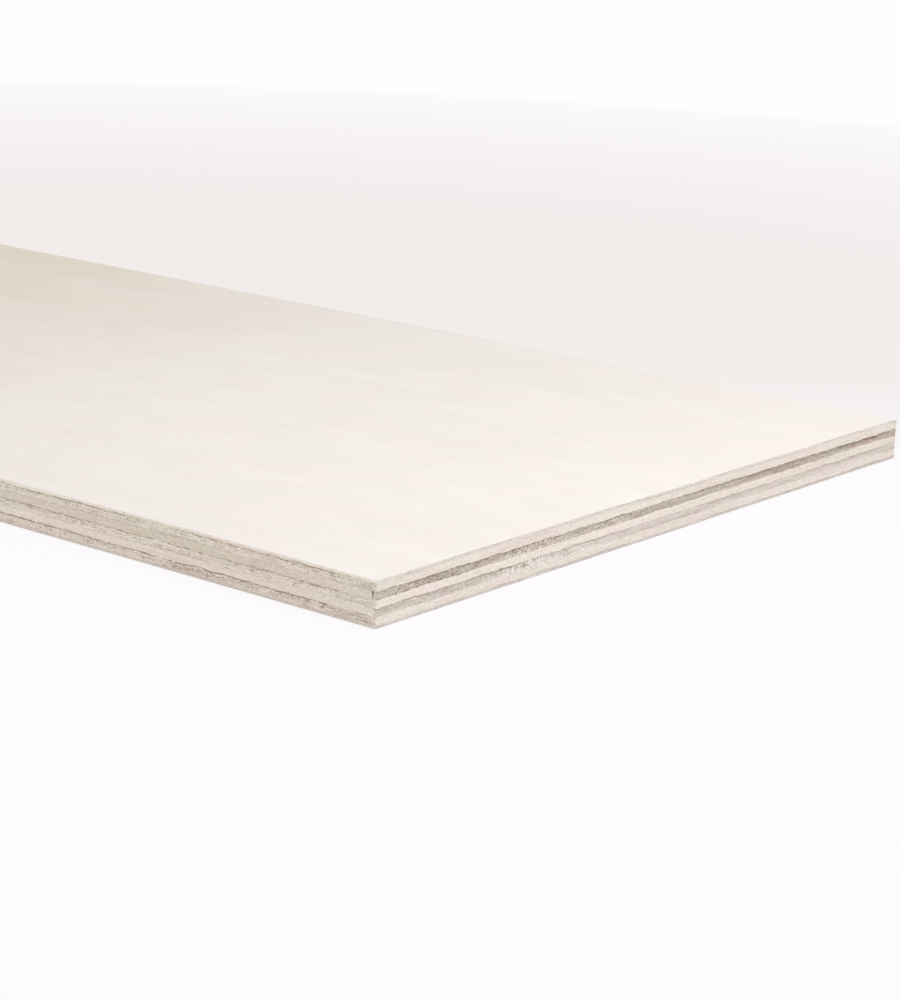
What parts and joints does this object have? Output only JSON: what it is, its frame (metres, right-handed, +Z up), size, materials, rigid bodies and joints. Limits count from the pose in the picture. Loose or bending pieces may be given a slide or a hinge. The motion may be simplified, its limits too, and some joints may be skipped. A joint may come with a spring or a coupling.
{
  "type": "plywood sheet",
  "caption": "Flat rectangular sheet of cross-banded poplar plywood with thin pale veneers on both faces and bare sawn edges, for panels, shelves and boxes.",
  "frame": {"origin": "middle of the underside, on the surface that the sheet lies on", "axes": "+X along the sheet's length, which is the direction of the face grain; +Y across its width; +Z up through the thickness and out of the face veneer"},
  "size_m": [0.6, 0.3, 0.015],
  "materials": {
    "veneer_wood": "rotary-cut poplar veneer, sanded, bare, warm near-white",
    "crosswise_core_wood": "poplar core veneer with its grain across the sheet, bare sawn edges",
    "lengthwise_core_wood": "poplar core veneer with its grain along the sheet, bare sawn edges, dark end grain"
  },
  "bodies": {
    "root": {"face_veneer": "veneer_wood", "core_ply_1": "crosswise_core_wood", "core_ply_2": "lengthwise_core_wood", "core_ply_3": "crosswise_core_wood", "core_ply_4": "lengthwise_core_wood", "core_ply_5": "crosswise_core_wood", "back_veneer": "veneer_wood"}
  },
  "joints": []
}
